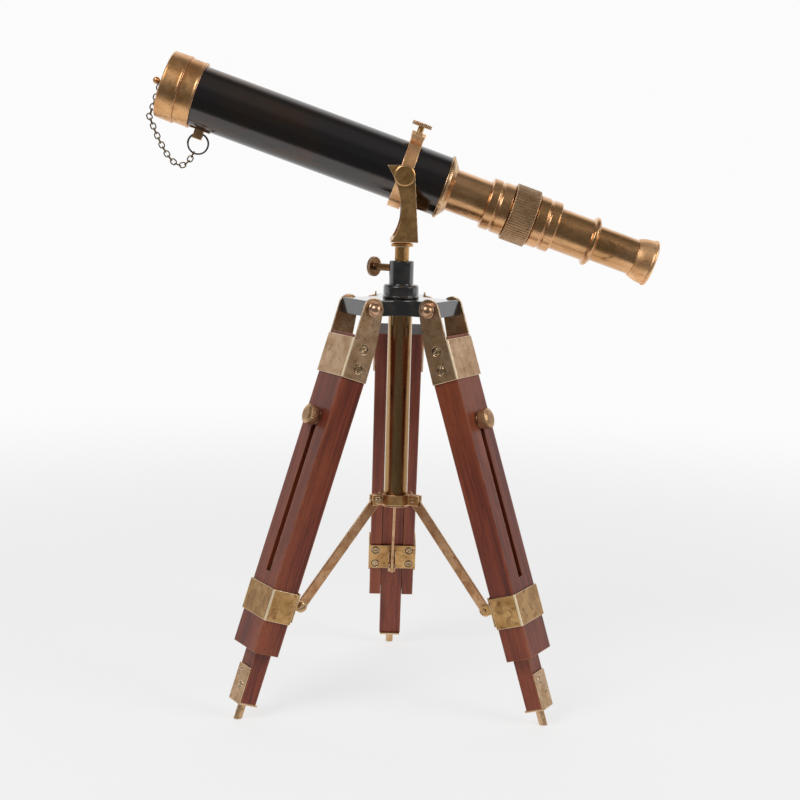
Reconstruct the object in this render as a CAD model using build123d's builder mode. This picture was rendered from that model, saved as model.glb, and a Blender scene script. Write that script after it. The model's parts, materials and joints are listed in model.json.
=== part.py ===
from build123d import *
import os
from math import cos, radians, sin

# Desk telescope on a folding wooden tripod.
# Millimetres, +Z up. The pieces are drawn with the column axis on the Z axis and
# the telescope in the XZ plane, its objective towards -X. They are then moved so
# that the origin lies on the floor under the middle of the whole.

# ---- driving dimensions -------------------------------------------------

# Middle of the whole's bounding box, seen from the column axis
MIDDLE_X = 0.54
MIDDLE_Y = 24.67

# Tripod layout
LEG_AZIMUTHS = (210, 330, 90)
SPLAY = 18.65
LEG_PIVOT_RADIUS = 30.4
LEG_PIVOT_HEIGHT = 268.2
COLUMN_RADIUS = 8.0
COLUMN_BORE_RADIUS = 6.4
COLUMN_FOOT = 132.4
HEAD_TOP = 273.6
HEAD_BOTTOM = 263.3
KNUCKLE_BOTTOM = 260.6
ARM_REACH = 35.6
ARM_WIDTH = 31.8

# Wooden leg: distances down the leg are counted from its pivot
WOOD_WIDTH = 32.3
WOOD_DEPTH = 17.8
WOOD_OFFSET = -2.0
WOOD_TOP = 19.4
WOOD_BOTTOM = 234.3
CHANNEL_TOP = 58.0
CHANNEL_WIDTH = 16.0
CHANNEL_DEPTH = 11.85
SLOT_TOP = 73.0
SLOT_BOTTOM = 183.0
SLOT_WIDTH = 5.6
SHEET = 1.2
BEND_RADIUS = 1.1
FIT = 0.02

# Leg fittings
BRACKET_TOP = 21.4
BRACKET_BOTTOM = 47.9
EAR_RADIUS = 7.3
BAND_TOP = 191.6
BAND_BOTTOM = 212.3
PLATE_TOP = 190.6
PLATE_BOTTOM = 210.3
LUG_DOWN = 200.7
LUG_REACH = 25.0
LUG_RADIUS = 3.6
LUG_GAP = 1.9
BRACKET_SCREW_DOWNS = (27.0, 40.0)
SCREW_HEAD_RADIUS = 2.8
SCREW_SINK = 0.8
SINK_MARGIN = 0.35

# Sliding extension
EXTENSION_TOP = 66.0
EXTENSION_BOTTOM = 269.6
EXTENSION_WIDTH = 15.6
EXTENSION_DEPTH = 11.3
EXTENSION_OFFSET = -4.8
FOOT_PLATE_TOP = 246.2
FOOT_PIN_RADIUS = 2.7
KNOB_DOWN = 77.3

# Spreader
COLLAR_HEIGHT = 7.0
STRUT_TOP_RADIUS = 14.6
STRUT_TOP_HEIGHT = 137.4
STRUT_WIDTH = 6.8
STRUT_THICKNESS = 1.6
STRUT_EYE_RADIUS = 4.3
STRUT_EYE_HOLE = 2.8
PIN_RADIUS = 1.2

# Azimuth socket, stem and yoke
SOCKET_FOOT_RADIUS = 11.8
SOCKET_RADIUS = 8.15
SOCKET_STEP = 282.9
SOCKET_TOP = 298.5
STEM_RADIUS = 4.7
STEM_FLANGE_RADIUS = 7.3
LOCK_AZIMUTH = 142
LOCK_HEIGHT = 293.2
YOKE_BASE = 311.6
YOKE_SHEET = 2.3
YOKE_GAP = 50.2
TILT_HEIGHT = 354.5
THUMB_DISC_RADIUS = 6.6

# Telescope: distances along the tube are counted from the clamp ring,
# positive towards the eyepiece
ELEVATION = 18.6
AXIS_RISE = 2.0
TUBE_RADIUS = 20.0
TUBE_WALL = 1.0
TUBE_FRONT = -150.0
TUBE_END = 26.4
CELL_RADIUS = 21.7
CELL_REAR = -144.0
SEAM = -154.7
CAP_FACE = -167.2
CAP_RADIUS = 22.5
SPIGOT_RADIUS = 20.5
LENS_RADIUS = 18.9
DRAW_RADIUS = 14.05
DRAW_BORE = 13.1
DRAW_FRONT = -40.0
COLLAR_RADIUS = 17.2
KNURL_RADIUS = 19.2
KNURL_TEETH = 66
COLLAR_START = 56.8
KNURL_START = 72.8
KNURL_END = 89.8
REAR_COLLAR_END = 105.8
SECOND_TUBE_END = 133.9
EYE_TUBE_RADIUS = 12.0
EYE_TUBE_BORE = 11.1
EYECUP_START = 162.0
EYECUP_END = 174.8
RUNNING = 0.05

# Cap chain
LUG_ALONG = -136.0
RING_RADIUS = 6.7
RING_WIRE = 0.58
LINK_LENGTH = 5.0
LINK_WIDTH = 4.1
LINK_WIRE = 0.42
LINK_SPACING = 3.3

# ---- frames -------------------------------------------------------------

elevation = radians(ELEVATION)
along = Vector(cos(elevation), 0, -sin(elevation))
rise = Vector(sin(elevation), 0, cos(elevation))
tube_origin = Vector(0, 0, TILT_HEIGHT) + rise * AXIS_RISE
# X runs along the tube, Y rises square to it, Z points to the side
TUBE = Plane(origin=tube_origin, x_dir=along, z_dir=(0, -1, 0))
TUBE_AXIS = Axis(tube_origin, along)
# Upright half-section through the tripod's middle: X outwards, Y up
SECTION = Plane.XZ

splay = radians(SPLAY)
LOW, MIDDLE, HIGH = Align.MIN, Align.CENTER, Align.MAX


def across_tube(distance):
    """Plane square to the tube: Y rises, Z runs along the tube."""
    return Plane(origin=tube_origin + along * distance, x_dir=(0, 1, 0), z_dir=along)


def outward(azimuth):
    return Vector(cos(radians(azimuth)), sin(radians(azimuth)), 0)


def sideways(azimuth):
    return Vector(-sin(radians(azimuth)), cos(radians(azimuth)), 0)


def leg_frame(azimuth):
    """Plane at the leg's pivot: X square out of the leg, Y sideways, Z up the leg."""
    pivot = outward(azimuth) * LEG_PIVOT_RADIUS + Vector(0, 0, LEG_PIVOT_HEIGHT)
    square_out = outward(azimuth) * cos(splay) + Vector(0, 0, sin(splay))
    up_leg = outward(azimuth) * -sin(splay) + Vector(0, 0, cos(splay))
    return Plane(origin=pivot, x_dir=square_out, z_dir=up_leg)


def facing(origin, normal, spin):
    """Plane at a point, facing a normal, its X turned by spin degrees about that normal."""
    base = Plane(origin=origin, z_dir=normal)
    turned_x = base.x_dir * cos(radians(spin)) + base.y_dir * sin(radians(spin))
    return Plane(origin=origin, x_dir=turned_x, z_dir=normal)


def in_frame(frame, point, normal, spin):
    """Like facing, with the point and the normal given in a frame's own directions."""
    origin = frame.from_local_coords(Vector(*point))
    direction = frame.from_local_coords(Vector(*normal)) - frame.origin
    return facing(origin, direction, spin)


def write(piece, label):
    placed = piece.part.moved(Location((-MIDDLE_X, -MIDDLE_Y, 0)))
    placed.label = label
    export_step(placed, f"parts/{label}.step")


def turned(outline, plane=TUBE, axis=TUBE_AXIS):
    """Turned piece from a closed outline of (along, radius) points."""
    with BuildPart() as piece:
        with BuildSketch(plane):
            with BuildLine():
                Polyline(*outline, close=True)
            make_face()
        revolve(axis=axis)
    return piece


def lens_arc(start, end):
    """Spherical lens surface between its apex on the axis and its rim, in either order."""
    apex, rim = (start, end) if start[1] == 0 else (end, start)
    bulge = rim[0] - apex[0]
    curve = (rim[1] ** 2 + bulge ** 2) / (2 * bulge)
    half_way = rim[1] / 2
    offset = curve - (curve ** 2 - half_way ** 2) ** 0.5 * (1 if bulge > 0 else -1)
    ThreePointArc(start, (apex[0] + offset, half_way), end)


def slotted_screws(spots, head_radius=2.9, shank_radius=PIN_RADIUS, shank=6.0):
    """One slotted screw at each spot, its shank running back along the spot's -Z."""
    crown, rim, slot_width, slot_depth = 0.6, 0.5, 0.95, 0.75
    with BuildPart(*spots) as screws:
        Cylinder(head_radius, rim, align=(MIDDLE, MIDDLE, LOW))
        Cylinder(shank_radius, shank, align=(MIDDLE, MIDDLE, HIGH))
        with Locations((0, 0, rim)):
            Cone(head_radius, head_radius * 0.7, crown,
                 align=(MIDDLE, MIDDLE, LOW))
        with Locations((0, 0, rim + crown)):
            Box(2.2 * head_radius, slot_width, 2 * slot_depth, mode=Mode.SUBTRACT)
    return screws


def thumb_screw(spot, shank_radius, shank_out, shank_in, disc=2.4):
    """Screw with a knurled disc head; the spot's Z points from the thread to the head."""
    notches, notch_radius = 32, 0.35
    with BuildPart(spot) as screw:
        with Locations((0, 0, -shank_in)):
            Cylinder(shank_radius, shank_in + shank_out,
                     align=(MIDDLE, MIDDLE, LOW))
        with Locations((0, 0, shank_out)):
            Cylinder(THUMB_DISC_RADIUS, disc, align=(MIDDLE, MIDDLE, LOW))
            with PolarLocations(THUMB_DISC_RADIUS, notches):
                Cylinder(notch_radius, disc, align=(MIDDLE, MIDDLE, LOW),
                         mode=Mode.SUBTRACT)
    return screw


os.makedirs("parts", exist_ok=True)

# ---- telescope: objective end -------------------------------------------

main_tube = turned([
    (TUBE_FRONT, TUBE_RADIUS - TUBE_WALL), (TUBE_FRONT, TUBE_RADIUS),
    (TUBE_END, TUBE_RADIUS), (TUBE_END, TUBE_RADIUS - TUBE_WALL),
])
write(main_tube, "main_tube")

LENS_SEAT = -153.0
CELL_FRONT = -163.5
objective_cell = turned([
    (CELL_FRONT, 19.0), (CELL_FRONT, SPIGOT_RADIUS), (SEAM, SPIGOT_RADIUS),
    (SEAM, CELL_RADIUS), (CELL_REAR - 1.6, CELL_RADIUS), (CELL_REAR - 1.2, CELL_RADIUS + 0.35),
    (CELL_REAR, CELL_RADIUS + 0.35), (CELL_REAR, TUBE_RADIUS + FIT),
    (TUBE_FRONT, TUBE_RADIUS + FIT), (TUBE_FRONT, 18.0), (LENS_SEAT, 18.0), (LENS_SEAT, 19.0),
])
write(objective_cell, "objective_cell")

# Cemented pair: the crown's back bulges into the flint
GLASS_GAP = 0.05
CROWN_RIM_FRONT, CROWN_RIM_BACK, FLINT_RIM_FRONT = -157.3, -155.65, -155.6
CROWN_BULGE, PAIR_BULGE = 2.0, 1.7
with BuildPart() as objective_lens:
    with BuildSketch(TUBE):
        with BuildLine():
            Line((CROWN_RIM_FRONT, LENS_RADIUS), (CROWN_RIM_BACK, LENS_RADIUS))
            lens_arc((CROWN_RIM_BACK, LENS_RADIUS), (CROWN_RIM_BACK + PAIR_BULGE, 0))
            Line((CROWN_RIM_BACK + PAIR_BULGE, 0), (CROWN_RIM_FRONT - CROWN_BULGE, 0))
            lens_arc((CROWN_RIM_FRONT - CROWN_BULGE, 0), (CROWN_RIM_FRONT, LENS_RADIUS))
        make_face()
        with BuildLine():
            Line((LENS_SEAT - FIT, 0), (LENS_SEAT - FIT, LENS_RADIUS))
            Line((LENS_SEAT - FIT, LENS_RADIUS), (FLINT_RIM_FRONT, LENS_RADIUS))
            lens_arc((FLINT_RIM_FRONT, LENS_RADIUS), (FLINT_RIM_FRONT + PAIR_BULGE, 0))
            Line((FLINT_RIM_FRONT + PAIR_BULGE, 0), (LENS_SEAT - FIT, 0))
        make_face()
    revolve(axis=TUBE_AXIS)
write(objective_lens, "objective_lens")

RETAINER_FRONT = -160.4
RETAINER_BACK = CROWN_RIM_FRONT - 0.35
with BuildPart() as objective_retaining_ring:
    with BuildSketch(TUBE):
        with BuildLine():
            Polyline((RETAINER_FRONT, 17.4), (RETAINER_FRONT, 18.95),
                     (RETAINER_BACK, 18.95), (RETAINER_BACK, 17.4), close=True)
        make_face()
    revolve(axis=TUBE_AXIS)
    with BuildSketch(across_tube(RETAINER_FRONT)):
        with PolarLocations(18.2, 2):
            Rectangle(3.0, 2.0)
    extrude(amount=1.0, mode=Mode.SUBTRACT)
write(objective_retaining_ring, "objective_retaining_ring")

CAP_WALL_BORE = SPIGOT_RADIUS + 0.08
CAP_CORNER = 1.4
KNOB_STEM_RADIUS = 1.5
with BuildPart() as dust_cap:
    with BuildSketch(TUBE):
        with BuildLine():
            Polyline((SEAM - FIT, CAP_WALL_BORE), (SEAM - FIT, CAP_RADIUS + 0.2),
                     (SEAM - 1.2, CAP_RADIUS + 0.2), (SEAM - 1.5, CAP_RADIUS),
                     (CAP_FACE + CAP_CORNER, CAP_RADIUS - 0.3))
            RadiusArc((CAP_FACE + CAP_CORNER, CAP_RADIUS - 0.3),
                      (CAP_FACE, CAP_RADIUS - 0.3 - CAP_CORNER), -CAP_CORNER)
            Polyline((CAP_FACE, CAP_RADIUS - 0.3 - CAP_CORNER), (CAP_FACE, KNOB_STEM_RADIUS),
                     (CAP_FACE + 1.5, KNOB_STEM_RADIUS), (CAP_FACE + 1.5, CAP_WALL_BORE - 1.5),
                     (CAP_FACE + 3.0, CAP_WALL_BORE), (SEAM - FIT, CAP_WALL_BORE))
        make_face()
    revolve(axis=TUBE_AXIS)
write(dust_cap, "dust_cap")

BALL_RADIUS = 2.4
BALL_CENTRE = CAP_FACE - 5.6
BALL_NECK = BALL_CENTRE + (BALL_RADIUS ** 2 - 1.0) ** 0.5
with BuildPart() as cap_knob:
    with BuildSketch(TUBE):
        with BuildLine():
            ThreePointArc((BALL_CENTRE - BALL_RADIUS, 0), (BALL_CENTRE, BALL_RADIUS),
                          (BALL_NECK, 1.0))
            Polyline((BALL_NECK, 1.0), (CAP_FACE - 1.0, 1.0), (CAP_FACE - 0.8, 2.2),
                     (CAP_FACE, 2.2), (CAP_FACE, KNOB_STEM_RADIUS - FIT),
                     (CAP_FACE + 1.5, KNOB_STEM_RADIUS - FIT), (CAP_FACE + 1.5, 2.6),
                     (CAP_FACE + 2.2, 2.2), (CAP_FACE + 2.2, 0), (BALL_CENTRE - BALL_RADIUS, 0))
        make_face()
    revolve(axis=TUBE_AXIS)
write(cap_knob, "cap_knob")

# ---- telescope: rear end of the main tube and the draw tubes -------------

FLANGE_LIP_END = 29.2
FLANGE_END = 32.4
FLANGE_SPIGOT = 12.0
tube_end_flange = turned([
    (FLANGE_SPIGOT, DRAW_RADIUS + RUNNING), (FLANGE_SPIGOT, TUBE_RADIUS - TUBE_WALL - FIT),
    (TUBE_END, TUBE_RADIUS - TUBE_WALL - FIT), (TUBE_END, 20.9), (TUBE_END + 0.4, 21.2),
    (TUBE_END + 1.6, 21.2), (TUBE_END + 2.0, 20.9), (TUBE_END + 2.0, 19.6),
    (FLANGE_LIP_END, 19.4), (FLANGE_END - 0.4, 15.6), (FLANGE_END, 15.2),
    (FLANGE_END, DRAW_RADIUS + RUNNING),
])
write(tube_end_flange, "tube_end_flange")

STOP_RING_END = DRAW_FRONT + 6.0
DRAW_END = 71.0
draw_tube = turned([
    (DRAW_FRONT, DRAW_BORE), (DRAW_FRONT, TUBE_RADIUS - TUBE_WALL - RUNNING),
    (STOP_RING_END, TUBE_RADIUS - TUBE_WALL - RUNNING), (STOP_RING_END, DRAW_RADIUS),
    (DRAW_END, DRAW_RADIUS), (DRAW_END, DRAW_BORE),
])
write(draw_tube, "draw_tube")

ERECTOR_FRONT = -38.0
ERECTOR_LENGTH = 26.0
ERECTOR_SEAT = 5.0
erector_cell = turned([
    (ERECTOR_FRONT, 10.0), (ERECTOR_FRONT, DRAW_BORE - FIT),
    (ERECTOR_FRONT + ERECTOR_LENGTH, DRAW_BORE - FIT),
    (ERECTOR_FRONT + ERECTOR_LENGTH, 10.0),
    (ERECTOR_FRONT + ERECTOR_LENGTH - ERECTOR_SEAT, 10.0),
    (ERECTOR_FRONT + ERECTOR_LENGTH - ERECTOR_SEAT, 8.0),
    (ERECTOR_FRONT + ERECTOR_SEAT, 8.0), (ERECTOR_FRONT + ERECTOR_SEAT, 10.0),
])
write(erector_cell, "erector_cell")


def lens_group(lenses):
    """Plano-convex lenses, each (flat face, rim radius, rim thickness, bulge, side)."""
    with BuildPart() as group:
        for flat, radius, rim, bulge, side in lenses:
            with BuildSketch(TUBE):
                with BuildLine():
                    Line((flat, 0), (flat, radius))
                    Line((flat, radius), (flat + side * rim, radius))
                    lens_arc((flat + side * rim, radius), (flat + side * (rim + bulge), 0))
                    Line((flat + side * (rim + bulge), 0), (flat, 0))
                make_face()
            revolve(axis=TUBE_AXIS)
    return group


erector_lenses = lens_group([
    (ERECTOR_FRONT + ERECTOR_SEAT - FIT, 9.95, 1.5, 1.2, -1),
    (ERECTOR_FRONT + ERECTOR_LENGTH - ERECTOR_SEAT + FIT, 9.95, 1.5, 1.2, 1),
])
write(erector_lenses, "erector_lenses")

# Two ridges with a groove between them, pushed over the draw tube's end;
# the thin sleeve behind them carries the focusing ring
SLEEVE_RADIUS = 16.0
SLEEVE_END = KNURL_END - 2.0
RIDGE = 7.0
GROOVE = 0.9


def ridge(start, end, radius, edge=0.9):
    """Outline points of a ridge with eased edges."""
    return [(start, radius - edge), (start + edge * 0.4, radius - edge * 0.3),
            (start + edge, radius), (end - edge, radius),
            (end - edge * 0.4, radius - edge * 0.3), (end, radius - edge)]


front_collar = turned(
    [(COLLAR_START, DRAW_RADIUS + FIT), (COLLAR_START, 15.6)]
    + ridge(COLLAR_START + 0.3, COLLAR_START + RIDGE, COLLAR_RADIUS)
    + ridge(COLLAR_START + RIDGE + GROOVE, KNURL_START - FIT, COLLAR_RADIUS)
    + [(KNURL_START - FIT, SLEEVE_RADIUS), (SLEEVE_END, SLEEVE_RADIUS),
       (SLEEVE_END, DRAW_RADIUS + 0.3), (DRAW_END + FIT, DRAW_RADIUS + 0.3),
       (DRAW_END + FIT, DRAW_RADIUS + FIT)]
)
write(front_collar, "front_collar")

KNURL_NOTCH = 0.42
with BuildPart() as focus_ring:
    with BuildSketch(TUBE):
        with BuildLine():
            Polyline((KNURL_START, SLEEVE_RADIUS + RUNNING), (KNURL_START, KNURL_RADIUS - 0.7),
                     (KNURL_START + 0.6, KNURL_RADIUS), (KNURL_END - 0.6, KNURL_RADIUS),
                     (KNURL_END, KNURL_RADIUS - 0.7), (KNURL_END, SLEEVE_RADIUS + RUNNING),
                     close=True)
        make_face()
    revolve(axis=TUBE_AXIS)
    with BuildSketch(across_tube(KNURL_START)):
        with PolarLocations(KNURL_RADIUS + 0.05, KNURL_TEETH):
            Circle(KNURL_NOTCH)
    extrude(amount=KNURL_END - KNURL_START, mode=Mode.SUBTRACT)
write(focus_ring, "focus_ring")

# The rear unit's sleeve slides inside the draw tube's bore and the front sleeve
rear_collar = turned(
    [(KNURL_END - 26.0, 12.2), (KNURL_END - 26.0, DRAW_BORE - RUNNING),
     (KNURL_END + FIT, DRAW_BORE - RUNNING), (KNURL_END + FIT, 15.6)]
    + ridge(KNURL_END + 0.3, KNURL_END + 8.2, COLLAR_RADIUS)
    + ridge(KNURL_END + 9.1, REAR_COLLAR_END, COLLAR_RADIUS - 0.15)
    + [(REAR_COLLAR_END, DRAW_RADIUS + FIT), (KNURL_END + 6.0, DRAW_RADIUS + FIT),
       (KNURL_END + 6.0, 12.2)]
)
write(rear_collar, "rear_collar")

BEAD_START = 129.2
BEAD_RADIUS = 16.7
second_draw_tube = turned([
    (KNURL_END + 6.0 + FIT, DRAW_BORE), (KNURL_END + 6.0 + FIT, DRAW_RADIUS),
    (BEAD_START, DRAW_RADIUS), (BEAD_START, BEAD_RADIUS - 1.9),
    (BEAD_START + 0.5, BEAD_RADIUS - 0.7), (BEAD_START + 1.2, BEAD_RADIUS - 0.1),
    (BEAD_START + 2.0, BEAD_RADIUS), (BEAD_START + 2.8, BEAD_RADIUS - 0.1),
    (BEAD_START + 3.5, BEAD_RADIUS - 0.7), (BEAD_START + 4.0, BEAD_RADIUS - 1.9),
    (SECOND_TUBE_END, BEAD_RADIUS - 2.6), (SECOND_TUBE_END, EYE_TUBE_RADIUS + RUNNING),
    (BEAD_START - 6.0, EYE_TUBE_RADIUS + RUNNING), (BEAD_START - 6.0, DRAW_BORE),
])
write(second_draw_tube, "second_draw_tube")

EYE_TUBE_FRONT = 120.2
eyepiece_tube = turned([
    (EYE_TUBE_FRONT, EYE_TUBE_BORE), (EYE_TUBE_FRONT, DRAW_BORE - RUNNING),
    (EYE_TUBE_FRONT + 3.0, DRAW_BORE - RUNNING), (EYE_TUBE_FRONT + 3.0, EYE_TUBE_RADIUS),
    (EYECUP_START + 4.0, EYE_TUBE_RADIUS), (EYECUP_START + 4.0, EYE_TUBE_BORE),
])
write(eyepiece_tube, "eyepiece_tube")

EYE_HOLE = 4.5
EYE_LENS_SEAT = EYECUP_START + 4.5
with BuildPart() as eyecup:
    with BuildSketch(TUBE):
        with BuildLine():
            Polyline((EYECUP_START, EYE_TUBE_RADIUS + FIT), (EYECUP_START, 12.9),
                     (EYECUP_START + 0.8, 13.1))
            RadiusArc((EYECUP_START + 0.8, 13.1), (EYECUP_END - 2.6, 14.9), 26.0)
            ThreePointArc((EYECUP_END - 2.6, 14.9), (EYECUP_END - 1.2, 15.6),
                          (EYECUP_END, 14.6))
            Line((EYECUP_END, 14.6), (EYECUP_END - 0.2, 13.4))
            RadiusArc((EYECUP_END - 0.2, 13.4), (EYECUP_START + 8.2, EYE_HOLE), 16.0)
            Polyline((EYECUP_START + 8.2, EYE_HOLE), (EYECUP_START + 7.0, EYE_HOLE),
                     (EYECUP_START + 7.0, 8.0), (EYE_LENS_SEAT, 8.0),
                     (EYE_LENS_SEAT, EYE_TUBE_RADIUS + FIT), (EYECUP_START, EYE_TUBE_RADIUS + FIT))
        make_face()
    revolve(axis=TUBE_AXIS)
write(eyecup, "eyecup")

FIELD_LENS_AT = 130.0
eyepiece_lenses = lens_group([
    (FIELD_LENS_AT, EYE_TUBE_BORE - FIT, 1.4, 1.8, -1),
    (EYECUP_START + 6.98, 7.95, 1.2, 1.1, -1),
])
write(eyepiece_lenses, "eyepiece_lenses")

# ---- lanyard lug, split ring and chain ----------------------------------

LUG_HOLE_DROP = 23.6
LUG_HOLE_RADIUS = 2.15
with BuildPart() as chain_lug:
    with BuildSketch(across_tube(LUG_ALONG - 7.0)):
        Circle(TUBE_RADIUS + 0.9)
        Circle(TUBE_RADIUS + FIT, mode=Mode.SUBTRACT)
        with Locations((0, -TUBE_RADIUS)):
            Rectangle(5.0, 6.0, mode=Mode.INTERSECT)
    extrude(amount=14.0)
    with BuildSketch(across_tube(LUG_ALONG - 3.0)):
        with Locations((0, -LUG_HOLE_DROP)):
            RectangleRounded(5.2, 6.2, 0.9)
            Circle(LUG_HOLE_RADIUS, mode=Mode.SUBTRACT)
    extrude(amount=6.0)
write(chain_lug, "chain_lug")

lug_hole = tube_origin + along * LUG_ALONG - rise * LUG_HOLE_DROP
ring_centre = lug_hole + Vector(0, 0, 0.7 - RING_RADIUS)
RING_PITCH = 2.3 * RING_WIRE
RING_TURNS = 1.5
ring_start = ring_centre - Vector(0, RING_PITCH * RING_TURNS / 2, 0)
with BuildPart() as coil:
    with BuildLine() as ring_path:
        Helix(pitch=RING_PITCH, height=RING_PITCH * RING_TURNS, radius=RING_RADIUS,
              center=ring_start, direction=(0, 1, 0))
    with BuildSketch(Plane(origin=ring_path.line @ 0, z_dir=ring_path.line % 0)):
        Circle(RING_WIRE)
    sweep(is_frenet=True)
with BuildPart() as split_ring:
    # turned so that the wire's two ends lie at the sides
    add(coil.part.rotate(Axis(ring_centre, (0, 1, 0)), -90))
write(split_ring, "split_ring")


# Pull point of the chain's slack curve, seen from the split ring's centre
CHAIN_SAG = Vector(-14.3, 0, -29.3)


def chain_point(share):
    """Point of the hanging chain, from the split ring (0) to the cap's knob (1)."""
    in_front = CAP_FACE - 2.5
    low = ring_centre + CHAIN_SAG
    start = ring_centre + (low - ring_centre).normalized() * (RING_RADIUS + 1.1)
    corner = tube_origin + along * in_front - rise * (CAP_RADIUS + 1.0)
    end = tube_origin + along * in_front - rise * 0.35
    hang = 0.62
    if share < hang:
        t = share / hang
        return start * (1 - t) ** 2 + low * (2 * t * (1 - t)) + corner * t ** 2
    t = (share - hang) / (1 - hang)
    return corner * (1 - t) + end * t


def chain_spots(samples=2000):
    """Centres and directions of an odd number of links, evenly spaced along the chain."""
    points = [chain_point(index / samples) for index in range(samples + 1)]
    walked = [0.0]
    for before, after in zip(points, points[1:]):
        walked.append(walked[-1] + (after - before).length)
    gaps = 2 * round(walked[-1] / LINK_SPACING / 2)
    spots = []
    for gap in range(gaps + 1):
        reached = gap * walked[-1] / gaps
        index = min(samples - 1, next(i for i, w in enumerate(walked) if w >= reached - 1e-6))
        spots.append((points[index], (points[index + 1] - points[index]).normalized()))
    return spots


cap_chain_solids = []
for number, (centre, heading) in enumerate(chain_spots()):
    side = Vector(0, 1, 0)
    face = side if number % 2 else heading.cross(side)
    link_plane = Plane(origin=centre, x_dir=heading, z_dir=face)
    straight = LINK_LENGTH - LINK_WIDTH
    bend = LINK_WIDTH / 2 - LINK_WIRE
    with BuildPart() as link:
        with BuildLine(link_plane) as link_path:
            Line((-straight / 2, bend), (straight / 2, bend))
            ThreePointArc((straight / 2, bend), (straight / 2 + bend, 0), (straight / 2, -bend))
            Line((straight / 2, -bend), (-straight / 2, -bend))
            ThreePointArc((-straight / 2, -bend), (-straight / 2 - bend, 0), (-straight / 2, bend))
        with BuildSketch(Plane(origin=link_path.line @ 0, z_dir=link_path.line % 0)):
            Circle(LINK_WIRE)
        sweep()
    cap_chain_solids.append(link.part.solid())

with BuildPart() as cap_chain:
    add(cap_chain_solids)
write(cap_chain, "cap_chain")

# ---- clamp ring, yoke and stem -------------------------------------------

BAND_WIDTH = 8.4
BAND_RADIUS = 22.6
SADDLE_RADIUS = 24.1
SADDLE_WIDTH = 26.0
TRUNNION_REACH = 24.9
TRUNNION_RADIUS = 5.5
TRUNNION_SCREW = 2.5
BOSS_FOOT = BAND_RADIUS - 0.6
BOSS_STEP = BAND_RADIUS + 1.4
BOSS_TOP = 27.6
BOSS_WIDTH = 9.6
BOSS_HEX_RADIUS = 4.7
CLAMP_SCREW_RADIUS = 2.05
TILT_PLANE = Plane(origin=(0, 0, TILT_HEIGHT), x_dir=(1, 0, 0), z_dir=(0, -1, 0))


def above_tube(height):
    """Plane square to the tube's upward direction, over the clamp ring's middle."""
    return Plane(origin=tube_origin + rise * height, x_dir=along, z_dir=rise)


with BuildPart() as clamp_ring:
    with BuildSketch(across_tube(-BAND_WIDTH / 2)):
        Circle(BAND_RADIUS)
        Circle(TUBE_RADIUS + RUNNING, mode=Mode.SUBTRACT)
    extrude(amount=BAND_WIDTH)
    # thicker saddle under the tube
    with BuildSketch(across_tube(-BAND_WIDTH / 2)):
        Circle(SADDLE_RADIUS)
        Circle(BAND_RADIUS - 0.1, mode=Mode.SUBTRACT)
        with Locations((0, -BAND_RADIUS)):
            Rectangle(SADDLE_WIDTH, SADDLE_WIDTH / 2, mode=Mode.INTERSECT)
    extrude(amount=BAND_WIDTH)
    # notched boss on top for the clamping screw
    with BuildSketch(above_tube(BOSS_FOOT)):
        Rectangle(BAND_WIDTH, BOSS_WIDTH)
    extrude(amount=BOSS_TOP - BOSS_FOOT - 2.2)
    with BuildSketch(above_tube(BOSS_STEP)):
        RegularPolygon(BOSS_HEX_RADIUS, 6)
    extrude(amount=BOSS_TOP - BOSS_STEP)
    # trunnion bosses for the pivot screws, on the tilt axis
    with BuildSketch(TILT_PLANE):
        Circle(TRUNNION_RADIUS)
    extrude(amount=TRUNNION_REACH, both=True)
    with BuildSketch(across_tube(-BAND_WIDTH)):
        Circle(TUBE_RADIUS + RUNNING)
    extrude(amount=2 * BAND_WIDTH, mode=Mode.SUBTRACT)
    with BuildSketch(TILT_PLANE):
        Circle(TRUNNION_SCREW + RUNNING)
    extrude(amount=TRUNNION_REACH + 1.0, both=True, mode=Mode.SUBTRACT)
    with BuildSketch(above_tube(0)):
        Circle(CLAMP_SCREW_RADIUS + RUNNING)
    extrude(amount=BOSS_TOP + 1.0, mode=Mode.SUBTRACT)
write(clamp_ring, "clamp_ring")

clamp_screw = thumb_screw(above_tube(BOSS_TOP), CLAMP_SCREW_RADIUS, 4.0,
                          BOSS_TOP - TUBE_RADIUS - 0.1)
write(clamp_screw, "clamp_screw")

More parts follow.
